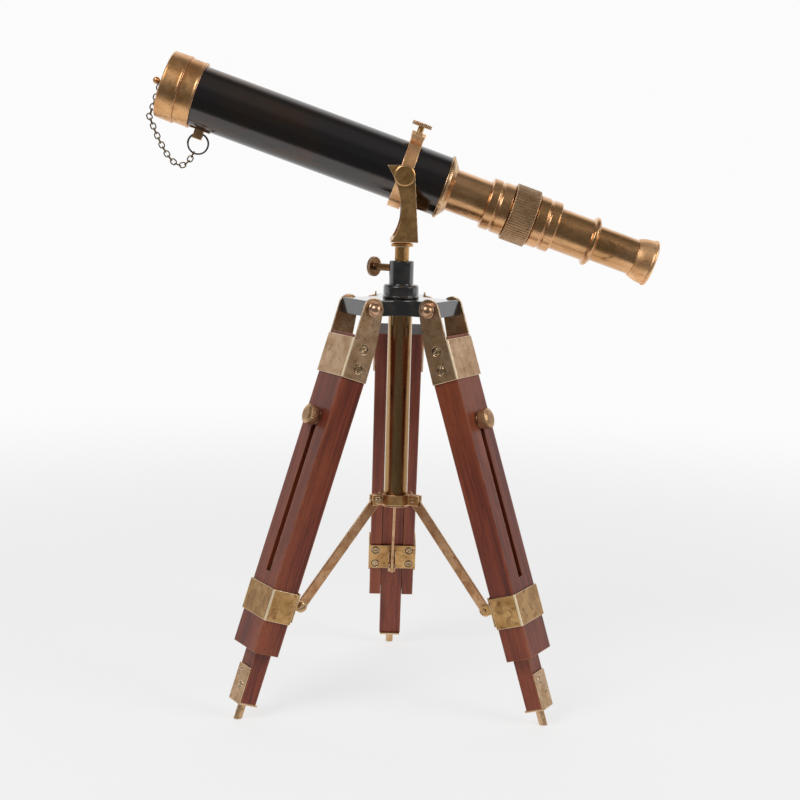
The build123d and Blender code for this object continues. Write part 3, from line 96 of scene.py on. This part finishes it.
class Shader:
    """A node material, built from small calls that each return an output socket."""

    def __init__(self, name, tree=None):
        if tree is None:
            self.material = bpy.data.materials.new(name)
            self.material.use_nodes = True
            tree = self.material.node_tree
        tree.nodes.clear()
        self.tree = tree

    def add(self, kind, inputs=None, **settings):
        node = self.tree.nodes.new(kind)
        for name, value in settings.items():
            setattr(node, name, value)
        for name, value in (inputs or {}).items():
            socket = node.inputs[name]
            if isinstance(value, bpy.types.NodeSocket):
                self.tree.links.new(value, socket)
            else:
                socket.default_value = value
        return node

    def math(self, operation, a, b=0.0, clamp=False):
        node = self.add("ShaderNodeMath", {0: a, 1: b}, operation=operation, use_clamp=clamp)
        return node.outputs[0]

    def dot(self, vector, direction):
        inputs = {0: vector, 1: tuple(direction)}
        return self.add("ShaderNodeVectorMath", inputs, operation="DOT_PRODUCT").outputs["Value"]

    def combine(self, x, y, z):
        return self.add("ShaderNodeCombineXYZ", {"X": x, "Y": y, "Z": z}).outputs[0]

    def point(self, frame_axes=None, origin=(0, 0, 0)):
        """Object point in millimetres, along a frame's own axes if they are given."""
        coordinates = self.add("ShaderNodeTexCoord").outputs["Object"]
        shifted = self.add("ShaderNodeVectorMath", {0: coordinates, 1: tuple(origin)},
                           operation="SUBTRACT").outputs[0]
        scaled = self.add("ShaderNodeVectorMath", {0: shifted, "Scale": MILLIMETRES},
                          operation="SCALE").outputs[0]
        if frame_axes is None:
            return scaled
        return self.combine(*[self.dot(scaled, axis) for axis in frame_axes])

    def stretch(self, vector, factors):
        inputs = {0: vector, 1: tuple(factors)}
        return self.add("ShaderNodeVectorMath", inputs, operation="MULTIPLY").outputs[0]

    def noise(self, vector, scale, detail=4.0, roughness=0.5, distortion=0.0):
        """Noise from 0 to 1; scale is in waves per millimetre of the vector."""
        inputs = {"Vector": vector, "Scale": scale, "Detail": detail,
                  "Roughness": roughness, "Distortion": distortion}
        return self.add("ShaderNodeTexNoise", inputs).outputs["Fac"]

    def ramp(self, value, low, high, out_low=0.0, out_high=1.0):
        """Smooth step of value between low and high, mapped to the two output values."""
        inputs = {"Value": value, "From Min": low, "From Max": high,
                  "To Min": out_low, "To Max": out_high}
        return self.add("ShaderNodeMapRange", inputs,
                        interpolation_type="SMOOTHSTEP").outputs["Result"]

    def mix(self, share, a, b):
        """Colour mix; a and b are colours or sockets."""
        node = self.add("ShaderNodeMix", data_type="RGBA")
        for socket, value in ((node.inputs[0], share), (node.inputs[6], a), (node.inputs[7], b)):
            if isinstance(value, bpy.types.NodeSocket):
                self.tree.links.new(value, socket)
            elif isinstance(value, float):
                socket.default_value = value
            else:
                socket.default_value = (*value, 1.0)
        return node.outputs[2]

    def edges(self, radius, gain=6.0):
        """Share from 0 on open faces to 1 near edges, and the normal eased round them."""
        eased = self.add("ShaderNodeBevel", {"Radius": radius}, samples=8).outputs[0]
        smooth_normal = self.add("ShaderNodeNewGeometry").outputs["Normal"]
        facing = self.add("ShaderNodeVectorMath", {0: eased, 1: smooth_normal},
                          operation="DOT_PRODUCT").outputs["Value"]
        turned = self.math("SUBTRACT", 1.0, facing)
        return self.math("MULTIPLY", turned, gain, clamp=True), eased

    def true_normal(self):
        return self.add("ShaderNodeNewGeometry").outputs["True Normal"]

    def crevices(self, distance):
        """Share from 0 in the open to 1 in a corner or under a neighbour."""
        openness = self.add("ShaderNodeAmbientOcclusion", {"Distance": distance}, samples=6)
        return self.math("SUBTRACT", 1.0, openness.outputs["AO"], clamp=True)

    def bump(self, height, distance, strength=1.0, normal=None):
        inputs = {"Height": height, "Distance": distance, "Strength": strength}
        if normal is not None:
            inputs["Normal"] = normal
        return self.add("ShaderNodeBump", inputs).outputs[0]

    def surface(self, **inputs):
        """Principled surface, written with the input names in lower case with underscores."""
        named = {name.replace("_", " ").title().replace("Ior", "IOR"): value
                 for name, value in inputs.items()}
        for name, value in named.items():
            if isinstance(value, tuple) and len(value) == 3:
                named[name] = (*value, 1.0)
        principled = self.add("ShaderNodeBsdfPrincipled", named)
        output = self.add("ShaderNodeOutputMaterial")
        self.tree.links.new(principled.outputs[0], output.inputs["Surface"])
        return self.material


# ---- directions of the object's parts -----------------------------------------

along_tube = Vector(joints["tube_in_clamp"]["axis"])
tube_axes = (along_tube, Vector((0, 1, 0)), along_tube.cross(Vector((0, 1, 0))))
tube_centre = Vector(joints["focus_ring_turn"]["pos_m"])


def leg_axes(number):
    """Square out of the leg, sideways, and up the leg."""
    up_leg = -Vector(joints[f"extension_{number}_slide"]["axis"])
    side = Vector(joints[f"leg_{number}_fold"]["axis"])
    return (side.cross(up_leg), side, up_leg)


# ---- materials ----------------------------------------------------------------

# lengths of the metal's edge wear and highlight, corner grime and shade, pits and lathe marks, in
# metres
EDGE_RADIUS = 0.0007
CREVICE_REACH = 0.0018
PIT_DEPTH = 0.00006
LATHE_DEPTH = 0.00002
# waves per millimetre
FINE_WAVES = 1.6
LATHE_WAVES = 5.0
# patina spots per patch of tone
SPOTS_PER_PATCH = 3.1
RIM_COLOUR = (0.96, 0.83, 0.74)
# out of the leg plus sideways, in millimetres, where a wrapped sheet bends
BEND_START, BEND_END = 24.19, 24.54


def metal(name, light, dark, patina, roughness, axes=None, origin=(0, 0, 0),
          patch=0.09, patina_share=0.5, turning=0.0, edge_colour=(0.95, 0.72, 0.42),
          edge_gain=5.0, streak=(1, 1, 1), bump=1.0, rim=0.0, bend=None):
    """Aged metal: light and dark tones in soft patches, patina spots, grime and painted shade
    in corners, and bright edges, partly wear and partly painted highlight.

    turning is the strength of the fine lathe marks round the first axis, rim that of the
    pale glancing reflection, and bend is the frame (axes, origin) of a leg whose wrapped
    sheet gets a painted highlight along its two bent corners.
    """
    s = Shader(name)
    p = s.point(axes, origin)
    stretched = s.stretch(p, streak)
    tone = s.ramp(s.noise(stretched, patch, detail=5.0, roughness=0.6), 0.35, 0.65)
    colour = s.mix(tone, light, dark)
    spots = s.noise(stretched, patch * SPOTS_PER_PATCH, detail=8.0, roughness=0.72,
                    distortion=0.6)
    low = 0.66 - 0.26 * patina_share
    spot_share = s.ramp(spots, low, low + 0.16, 0.0, 0.75)
    colour = s.mix(spot_share, colour, patina)
    fine = s.noise(stretched, FINE_WAVES, detail=6.0, roughness=0.75)
    colour = s.mix(s.ramp(fine, 0.5, 0.78, 0.0, 0.3), colour, patina)
    corner, eased = s.edges(EDGE_RADIUS, edge_gain)
    # darker in corners and gaps from occlusion: partly grime and patina, partly painted shade
    dirt_and_shade = s.ramp(s.crevices(CREVICE_REACH), 0.35, 0.95, 0.0, 0.8)
    colour = s.mix(dirt_and_shade, colour, tuple(0.25 * c for c in patina))
    # edges lightened: partly wear, partly painted highlight
    lightened_edge = s.math("MULTIPLY", corner, s.ramp(spots, 0.3, 0.6, 0.9, 0.6))
    colour = s.mix(lightened_edge, colour, edge_colour)
    rough = s.ramp(spots, 0.35, 0.75, roughness, roughness + 0.2)
    rough = s.math("SUBTRACT", rough, s.math("MULTIPLY", lightened_edge, 0.08), clamp=True)
    if rim:
        facing = s.add("ShaderNodeLayerWeight", {"Blend": 0.5}).outputs["Facing"]
        colour = s.mix(s.ramp(facing, 0.55, 0.92, 0.0, rim), colour, RIM_COLOUR)
    # painted highlight along the wrapped sheet's two bent corners
    if bend is not None:
        q = s.point(*bend)
        reach = s.math("ADD", s.dot(q, (1, 0, 0)), s.math("ABSOLUTE", s.dot(q, (0, 1, 0))))
        bent = s.ramp(reach, BEND_START, BEND_END)
        colour = s.mix(bent, colour, edge_colour)
        rough = s.math("ADD", rough, s.math("MULTIPLY", bent, 0.25))
    height = s.math("ADD", s.math("MULTIPLY", fine, 0.35), s.math("MULTIPLY", spots, 0.65))
    normal = s.bump(height, PIT_DEPTH * bump, 1.0, eased)
    if turning:
        rings = s.noise(s.stretch(p, (1.0, 0.02, 0.02)), LATHE_WAVES, detail=3.0, roughness=0.8)
        normal = s.bump(rings, LATHE_DEPTH, turning, normal)
    return s.surface(base_color=colour, metallic=1.0, roughness=rough, normal=normal)


def black_tube():
    """Black-brown chemical patina under lacquer, with cloudy brown patches lengthwise."""
    s = Shader("patinated_tube")
    p = s.point(tube_axes, tube_centre)
    cloud = s.noise(s.stretch(p, (0.35, 1.0, 1.0)), 0.035, detail=6.0, roughness=0.62)
    brown = s.ramp(cloud, 0.44, 0.66)
    colour = s.mix(brown, (0.080, 0.074, 0.073), (0.120, 0.078, 0.056))
    fine = s.noise(s.stretch(p, (0.12, 1.0, 1.0)), 0.9, detail=7.0, roughness=0.7)
    colour = s.mix(s.ramp(fine, 0.45, 0.75, 0.0, 0.45), colour, (0.045, 0.038, 0.036))
    scratch = s.noise(s.stretch(p, (0.01, 1.0, 1.0)), 2.6, detail=4.0, roughness=0.8)
    colour = s.mix(s.ramp(scratch, 0.66, 0.74, 0.0, 0.2), colour, (0.20, 0.16, 0.13))
    rough = s.ramp(fine, 0.3, 0.8, 0.13, 0.26)
    _, eased = s.edges(0.0003)
    normal = s.bump(fine, 0.00003, 1.0, eased)
    return s.surface(base_color=colour, metallic=1.0, roughness=rough, normal=normal,
                     coat_weight=0.25, coat_roughness=0.05)


def black_enamel():
    """Gloss black enamel with faint unevenness and a greyer worn rim."""
    s = Shader("black_head")
    p = s.point()
    uneven = s.noise(p, 0.12, detail=4.0)
    fine = s.noise(p, 1.8, detail=6.0, roughness=0.7)
    colour = s.mix(s.ramp(uneven, 0.4, 0.65), (0.013, 0.013, 0.014), (0.032, 0.028, 0.026))
    corner, eased = s.edges(0.0006, 3.0)
    lightened_edge = s.math("MULTIPLY", corner, s.ramp(fine, 0.45, 0.7))
    colour = s.mix(lightened_edge, colour, (0.16, 0.14, 0.12))
    rough = s.ramp(fine, 0.35, 0.75, 0.14, 0.28)
    normal = s.bump(s.math("ADD", uneven, s.math("MULTIPLY", fine, 0.15)), 0.0001, 1.0, eased)
    return s.surface(base_color=colour, metallic=0.0, roughness=rough, normal=normal, ior=1.75,
                     coat_weight=0.8, coat_roughness=0.08)


def rosewood(name, number, shift):
    """Lacquered red-brown wood with its grain along the leg, lighter along the edges from
    scuffs and painted highlight.

    shift, in metres, tells one board's grain from another's.
    """
    s = Shader(name)
    p = s.point(leg_axes(number), (shift, 0, 0))
    sway = s.noise(s.stretch(p, (1, 1, 0.2)), 0.05, detail=2.0)
    wander = s.combine(s.math("MULTIPLY", sway, 6.0), s.math("MULTIPLY", sway, 4.0), 0.0)
    bent = s.add("ShaderNodeVectorMath", {0: p, 1: wander}, operation="ADD").outputs[0]
    figure = s.noise(s.stretch(bent, (1, 1, 0.035)), 0.42, detail=5.0, roughness=0.62)
    fibre = s.noise(s.stretch(bent, (1, 1, 0.02)), 2.4, detail=5.0, roughness=0.7)
    pores = s.noise(s.stretch(bent, (1, 1, 0.06)), 4.2, detail=2.0, roughness=0.6)
    broad = s.noise(s.stretch(p, (1, 1, 0.25)), 0.035, detail=3.0)
    colour = s.mix(s.ramp(figure, 0.34, 0.68), (0.250, 0.046, 0.018), (0.112, 0.018, 0.008))
    colour = s.mix(s.ramp(broad, 0.42, 0.68, 0.0, 0.7), colour, (0.34, 0.080, 0.028))
    colour = s.mix(s.ramp(fibre, 0.42, 0.70, 0.0, 0.5), colour, (0.075, 0.013, 0.007))
    pore_share = s.ramp(pores, 0.62, 0.70, 0.0, 0.75)
    colour = s.mix(pore_share, colour, (0.022, 0.008, 0.007))
    # edges lightened: partly scuffs, partly painted highlight
    corner, eased = s.edges(0.0008, 13.0)
    edge_patchiness = s.noise(s.stretch(p, (1, 1, 0.25)), 0.35, detail=5.0, roughness=0.7)
    lightened_edge = s.math("MULTIPLY", corner, s.ramp(edge_patchiness, 0.36, 0.58, 0.25, 1.0))
    colour = s.mix(s.math("MULTIPLY", lightened_edge, 0.8), colour, (0.52, 0.20, 0.10))
    # end grain soaks up more stain
    end_grain = s.ramp(s.math("ABSOLUTE", s.dot(s.true_normal(), leg_axes(number)[2])), 0.6, 0.9)
    colour = s.mix(s.math("MULTIPLY", end_grain, 0.7), colour, (0.030, 0.010, 0.007))
    # darker near corners and neighbouring parts from occlusion: partly grime, partly painted shade
    dirt_and_shade = s.ramp(s.crevices(0.003), 0.3, 0.95, 0.0, 0.85)
    colour = s.mix(dirt_and_shade, colour, (0.010, 0.004, 0.003))
    rough = s.ramp(fibre, 0.3, 0.75, 0.34, 0.55)
    height = s.math("SUBTRACT", s.math("MULTIPLY", fibre, 0.6), pore_share)
    normal = s.bump(height, 0.00009, 1.0, eased)
    return s.surface(base_color=colour, metallic=0.0, roughness=rough, normal=normal,
                     specular_ior_level=0.35, coat_weight=0.12, coat_roughness=0.18)


def coated_glass():
    """Lens glass with a faint bloom."""
    s = Shader("glass")
    p = s.point()
    smear = s.noise(p, 0.4, detail=5.0, roughness=0.7)
    rough = s.ramp(smear, 0.45, 0.8, 0.0, 0.06)
    return s.surface(base_color=(0.86, 0.93, 0.97), metallic=0.0, roughness=rough,
                     transmission_weight=1.0, ior=1.52)


PALE_EDGE = (1.0, 0.84, 0.60)
PINK_EDGE = (1.0, 0.72, 0.52)
UMBER = (0.11, 0.055, 0.026)

materials = {
    "patinated_tube": black_tube(),
    "black_head": black_enamel(),
    "glass": coated_glass(),
    "cap_brass": metal("cap_brass", (0.80, 0.46, 0.21), (0.60, 0.29, 0.11), (0.24, 0.092, 0.036),
                       0.27, tube_axes, tube_centre, patch=0.05, patina_share=0.4,
                       turning=0.35, edge_colour=PINK_EDGE),
    "antique_brass": metal("antique_brass", (0.72, 0.42, 0.17), (0.50, 0.27, 0.09), UMBER, 0.30,
                           patch=0.06, patina_share=0.3, edge_colour=PINK_EDGE, edge_gain=12.0),
    "rosy_brass": metal("rosy_brass", (0.80, 0.46, 0.23), (0.58, 0.31, 0.13), (0.23, 0.092, 0.040),
                        0.20, tube_axes, tube_centre, patch=0.045, patina_share=0.4,
                        turning=0.3, edge_colour=PINK_EDGE, streak=(0.5, 1, 1), rim=0.5),
    "copper_brass": metal("copper_brass", (0.62, 0.37, 0.20), (0.42, 0.21, 0.10),
                          (0.17, 0.07, 0.03), 0.28, patch=0.10, patina_share=0.5),
    "sheet_brass": metal("sheet_brass", (0.68, 0.46, 0.28), (0.50, 0.30, 0.15),
                         (0.26, 0.13, 0.055), 0.27, patch=0.09, patina_share=0.5,
                         edge_colour=PALE_EDGE, edge_gain=9.0, bump=1.6),
    "screw_brass": metal("screw_brass", (0.52, 0.33, 0.16), (0.34, 0.20, 0.09), UMBER, 0.26,
                         patch=0.3, patina_share=0.4, edge_colour=PALE_EDGE, edge_gain=12.0),
    "knurled_brass": metal("knurled_brass", (0.62, 0.39, 0.21), (0.44, 0.26, 0.13),
                           (0.12, 0.058, 0.026), 0.30, tube_axes, tube_centre, patch=0.12,
                           patina_share=0.4, edge_gain=3.0, edge_colour=(0.90, 0.62, 0.40)),
    "column_brass": metal("column_brass", (0.50, 0.31, 0.14), (0.34, 0.19, 0.075),
                          (0.17, 0.078, 0.03), 0.16, patch=0.08, patina_share=0.35,
                          edge_colour=PINK_EDGE, streak=(1, 1, 0.12), rim=0.8),
    "black_brass": metal("black_brass", (0.06, 0.05, 0.04), (0.03, 0.026, 0.022),
                         (0.015, 0.012, 0.01), 0.45, edge_colour=(0.2, 0.15, 0.1)),
    "dark_steel": metal("dark_steel", (0.11, 0.09, 0.07), (0.06, 0.048, 0.04),
                        (0.03, 0.02, 0.015), 0.30, patch=0.4, edge_colour=(0.2, 0.17, 0.14)),
    "dark_chain": metal("dark_chain", (0.26, 0.19, 0.10), (0.13, 0.09, 0.05),
                        (0.05, 0.03, 0.015), 0.30, patch=0.4, edge_colour=(0.4, 0.32, 0.2)),
}

# nodes whose finish differs from the rest of their slot
materials["leg_pivot_bolts"] = metal("bolt_brass", (0.66, 0.42, 0.28), (0.50, 0.29, 0.17),
                                     (0.20, 0.09, 0.045), 0.26, patch=0.2, patina_share=0.4,
                                     edge_colour=PINK_EDGE)
materials["tube_end_flange"] = metal("flange_brass", (0.74, 0.47, 0.26), (0.50, 0.29, 0.13),
                                     (0.14, 0.07, 0.035), 0.22, tube_axes, tube_centre,
                                     patch=0.16, patina_share=0.5, edge_colour=PINK_EDGE,
                                     edge_gain=8.0)
handled_brass = metal("handled_brass", (1.0, 0.63, 0.34), (0.84, 0.46, 0.21), (0.40, 0.17, 0.07),
                      0.36, tube_axes, tube_centre, patch=0.05, patina_share=0.4,
                      turning=0.35, edge_colour=PINK_EDGE)
materials["eyecup"] = handled_brass
materials["clamp_ring"] = handled_brass
materials["azimuth_lock_screw"] = metal("dull_brass", (0.36, 0.20, 0.09), (0.24, 0.12, 0.05),
                                        (0.07, 0.03, 0.015), 0.34, patch=0.06,
                                        patina_share=0.4, edge_colour=PINK_EDGE)
# metres from one board's grain to the next
BOARD_SHIFT, EXTENSION_SHIFT = 0.13, 0.052
for number in LEGS:
    shift = BOARD_SHIFT * number
    materials[f"leg_{number}"] = rosewood(f"rosewood_{number}", number, shift)
    materials[f"leg_{number}_extension"] = rosewood(f"extension_wood_{number}", number,
                                                    shift + EXTENSION_SHIFT)
    bend = (leg_axes(number), Vector(joints[f"leg_{number}_fold"]["pos_m"]))
    materials[f"leg_{number}_top_bracket"] = metal(
        f"bracket_brass_{number}", (0.70, 0.47, 0.29), (0.52, 0.31, 0.16), (0.28, 0.14, 0.06),
        0.27, patch=0.08, patina_share=0.5, edge_colour=PALE_EDGE, edge_gain=9.0,
        bump=1.6, bend=bend)
    materials[f"leg_{number}_band"] = metal(
        f"band_brass_{number}", (0.60, 0.36, 0.15), (0.40, 0.215, 0.08), (0.18, 0.078, 0.03),
        0.25, patch=0.07, patina_share=0.6, edge_colour=PALE_EDGE, edge_gain=9.0,
        bump=1.6, bend=bend)
    materials[f"leg_{number}_hinge_plate"] = materials[f"leg_{number}_band"]

for node, piece in nodes.items():
    finish = materials[node] if node in materials else materials[slots[node]]
    piece.data.materials.clear()
    piece.data.materials.append(finish)


# ---- the chain: a free copy of its part, with the part itself hidden -------------

chain = nodes["cap_chain"].copy()
chain.data = nodes["cap_chain"].data.copy()
chain.name = "hanging_chain"
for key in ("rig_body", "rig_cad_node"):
    if key in chain:
        del chain[key]
chain.parent = None
bpy.context.scene.collection.objects.link(chain)
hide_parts("cap_chain")
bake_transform(chain)


# ---- stage ------------------------------------------------------------------------

WHITE = 0.97
FLOOR_REACH = 12.0
FLOOR_GAP = 0.0004
CAMERA_PLACE = Vector((-0.01684, -1.03827, 0.3570))
# radians
CAMERA_TURN, CAMERA_DIP, CAMERA_ROLL = -0.0174, 0.1492, 0.0272
# millimetres
LENS, SENSOR_WIDTH = 68.4, 36.0


def floor():
    """Wide pale floor that fades into the background, and reflects darker in front."""
    mesh = bpy.data.meshes.new("floor")
    corners = [(x * FLOOR_REACH, y * FLOOR_REACH, -FLOOR_GAP)
               for x, y in ((-1, -1), (1, -1), (1, 1), (-1, 1))]
    mesh.from_pydata(corners, [], [(0, 1, 2, 3)])
    piece = bpy.data.objects.new("floor", mesh)
    bpy.context.scene.collection.objects.link(piece)
    s = Shader("pale_floor")
    position = s.add("ShaderNodeNewGeometry").outputs["Position"]
    distance = s.add("ShaderNodeVectorMath", {0: position}, operation="LENGTH").outputs["Value"]
    seen = s.add("ShaderNodeLightPath").outputs["Is Camera Ray"]
    diffuse = s.add("ShaderNodeBsdfDiffuse", {"Color": (0.9, 0.9, 0.9, 1)})
    glow = s.add("ShaderNodeEmission", {"Color": (1, 1, 1, 1), "Strength": WHITE})
    share = s.ramp(distance, 0.35, 1.3, 0.7, 1.0)
    mixed = s.add("ShaderNodeMixShader", {0: share})
    s.tree.links.new(diffuse.outputs[0], mixed.inputs[1])
    s.tree.links.new(glow.outputs[0], mixed.inputs[2])
    front = s.ramp(s.dot(position, (0, -1, 0)), 0.30, 0.42, 0.9, 0.12)
    dim = s.add("ShaderNodeEmission", {"Color": (1, 1, 1, 1), "Strength": front})
    chosen = s.add("ShaderNodeMixShader", {0: seen})
    s.tree.links.new(dim.outputs[0], chosen.inputs[1])
    s.tree.links.new(mixed.outputs[0], chosen.inputs[2])
    output = s.add("ShaderNodeOutputMaterial")
    s.tree.links.new(chosen.outputs[0], output.inputs["Surface"])
    mesh.materials.append(s.material)
    stand_on_feet(piece)


def stand_on_feet(piece):
    """Keeps the floor at the lowest foot, which sinks when a leg folds or extends."""
    z_axis = 2
    height = piece.driver_add("location", z_axis).driver
    height.type = "MIN"
    for number in LEGS:
        low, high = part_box(f"leg_{number}_foot")
        tip = bpy.data.objects.new(f"foot_tip_{number}", None)
        bpy.context.scene.collection.objects.link(tip)
        tip.location = ((low.x + high.x) / 2, (low.y + high.y) / 2, low.z)
        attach(tip, f"extension_{number}")
        variable = height.variables.new()
        variable.type = "TRANSFORMS"
        variable.targets[0].id = tip
        variable.targets[0].transform_type = "LOC_Z"
        variable.targets[0].transform_space = "WORLD_SPACE"


def studio():
    """White room behind and beside the object, darker towards the viewer, lit from above."""
    world = bpy.data.worlds.new("studio")
    bpy.context.scene.world = world
    world.use_nodes = True
    s = Shader("studio", world.node_tree)
    direction = s.add("ShaderNodeTexCoord").outputs["Generated"]
    behind = s.ramp(s.dot(direction, (0, 1, 0)), 0.28, 0.70, 0.15, 1.05)
    overhead = s.ramp(s.dot(direction, (0.1, -0.45, 0.88)), 0.80, 0.97, 0.0, 0.12)
    room = s.math("ADD", behind, overhead)
    seen = s.add("ShaderNodeLightPath").outputs["Is Camera Ray"]
    lit = s.add("ShaderNodeBackground", {"Color": (1, 1, 1, 1), "Strength": room})
    plain = s.add("ShaderNodeBackground", {"Color": (1, 1, 1, 1), "Strength": WHITE})
    chosen = s.add("ShaderNodeMixShader", {0: seen})
    s.tree.links.new(lit.outputs[0], chosen.inputs[1])
    s.tree.links.new(plain.outputs[0], chosen.inputs[2])
    output = s.add("ShaderNodeOutputWorld")
    s.tree.links.new(chosen.outputs[0], output.inputs["Surface"])


def softbox(name, place, size, power):
    """Square area light that faces the middle of the object; metres and watts."""
    data = bpy.data.lights.new(name, "AREA")
    data.shape = "SQUARE"
    data.size = size
    data.energy = power
    lamp = bpy.data.objects.new(name, data)
    bpy.context.scene.collection.objects.link(lamp)
    lamp.location = place
    target = (cad_low + cad_high) / 2
    lamp.rotation_mode = "QUATERNION"
    lamp.rotation_quaternion = (target - Vector(place)).to_track_quat("-Z", "Y")


def camera():
    """Camera turned about the upright, dipped, then rolled about its line of sight."""
    data = bpy.data.cameras.new("camera")
    data.lens = LENS
    data.sensor_width = SENSOR_WIDTH
    data.clip_start, data.clip_end = 0.01, 60.0
    view = bpy.data.objects.new("camera", data)
    bpy.context.scene.collection.objects.link(view)
    turn = Matrix.Rotation(CAMERA_TURN, 4, "Z")
    dip = Matrix.Rotation(math.pi / 2 - CAMERA_DIP, 4, "X")
    roll = Matrix.Rotation(CAMERA_ROLL, 4, "Z")
    view.matrix_world = Matrix.Translation(CAMERA_PLACE) @ turn @ dip @ roll
    bpy.context.scene.camera = view


floor()
studio()
softbox("key_light", place=(-0.9, -1.1, 1.5), size=0.9, power=14.0)
softbox("side_light", place=(1.3, -0.7, 0.9), size=0.8, power=8.0)
camera()
bpy.context.scene.view_settings.view_transform = "Standard"
